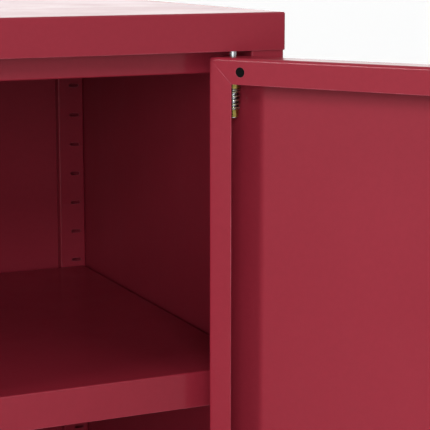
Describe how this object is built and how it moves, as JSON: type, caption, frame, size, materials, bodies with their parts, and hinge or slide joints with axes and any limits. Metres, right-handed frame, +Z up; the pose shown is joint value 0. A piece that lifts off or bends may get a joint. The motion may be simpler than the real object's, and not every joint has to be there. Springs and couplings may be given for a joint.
{
  "type": "metal storage cabinet",
  "caption": "Tall folded-steel storage cabinet with hinged doors on spring pins, adjustable shelves, bow handles and a cam lock.",
  "frame": {"origin": "on the floor, under the middle of the carcass", "axes": "+X to the right seen from the front, +Y into the cabinet, +Z up"},
  "size_m": [0.9783, 0.7066, 1.02],
  "materials": {
    "paint": "satin",
    "zinc": "satin",
    "yellow_zinc": "satin",
    "chrome": "polished",
    "plastic": "matte",
    "rubber": "matte",
    "magnet": "matte",
    "nylon": "satin"
  },
  "bodies": {
    "carcass": {"back_panel": "paint", "back_rivets": "zinc", "base_tray": "paint", "bottom_pin_left": "zinc", "bottom_pin_right": "zinc", "bumper_left": "rubber", "bumper_right": "rubber", "foot_front_left": "plastic", "foot_front_right": "plastic", "foot_rear_left": "plastic", "foot_rear_right": "plastic", "front_rail": "paint", "hinge_plate_left": "paint", "hinge_plate_right": "paint", "magnet_left": "magnet", "magnet_right": "magnet", "pin_washer_left": "nylon", "pin_washer_right": "nylon", "shelf_clips_lower": "zinc", "shelf_clips_middle": "zinc", "shelf_clips_upper": "zinc", "shelf_lower": "paint", "shelf_middle": "paint", "shelf_strip_front_left": "paint", "shelf_strip_front_right": "paint", "shelf_strip_rear_left": "paint", "shelf_strip_rear_right": "paint", "shelf_upper": "paint", "side_panel_left": "paint", "side_panel_right": "paint", "top_cap": "paint"},
    "right_door": {"door_handle_right": "chrome", "door_panel_right": "paint", "flange_plugs_right": "rubber", "handle_screws_right": "zinc", "lock_housing": "chrome", "lock_nut": "zinc", "pin_bracket_right": "yellow_zinc"},
    "left_door": {"door_handle_left": "chrome", "door_panel_left": "paint", "flange_plugs_left": "rubber", "handle_screws_left": "zinc", "pin_bracket_left": "yellow_zinc"},
    "right_pin": {"top_pin_right": "zinc", "pin_collar_right": "yellow_zinc", "pin_spring_right": "zinc"},
    "left_pin": {"top_pin_left": "zinc", "pin_collar_left": "yellow_zinc", "pin_spring_left": "zinc"},
    "lock_core": {"lock_core": "zinc", "lock_cam": "zinc", "cam_screw": "zinc"}
  },
  "joints": [
    {"name": "right_door_hinge", "type": "hinge", "parent": "carcass", "child": "right_door", "pos_m": [0.3643, -0.194, 0.5], "axis": [0, 0, 1], "range_deg": [-123, 0]},
    {"name": "left_door_hinge", "type": "hinge", "parent": "carcass", "child": "left_door", "pos_m": [-0.3643, -0.194, 0.5], "axis": [0, 0, 1], "range_deg": [-123, 0]},
    {"name": "right_pin_slide", "type": "slide", "parent": "right_door", "child": "right_pin", "axis": [0, 0, 1], "range_m": [-0.0075, 0], "stiffness_N_per_m": 600, "springref_m": 0.004, "deforming": ["pin_spring_right"]},
    {"name": "left_pin_slide", "type": "slide", "parent": "left_door", "child": "left_pin", "axis": [0, 0, 1], "range_m": [-0.0075, 0], "stiffness_N_per_m": 600, "springref_m": 0.004, "deforming": ["pin_spring_left"]},
    {"name": "lock_turn", "type": "hinge", "parent": "right_door", "child": "lock_core", "pos_m": [0.55086, -0.47026, 0.54], "axis": [-0.8387, -0.5446, 0], "range_deg": [0, 90]}
  ]
}
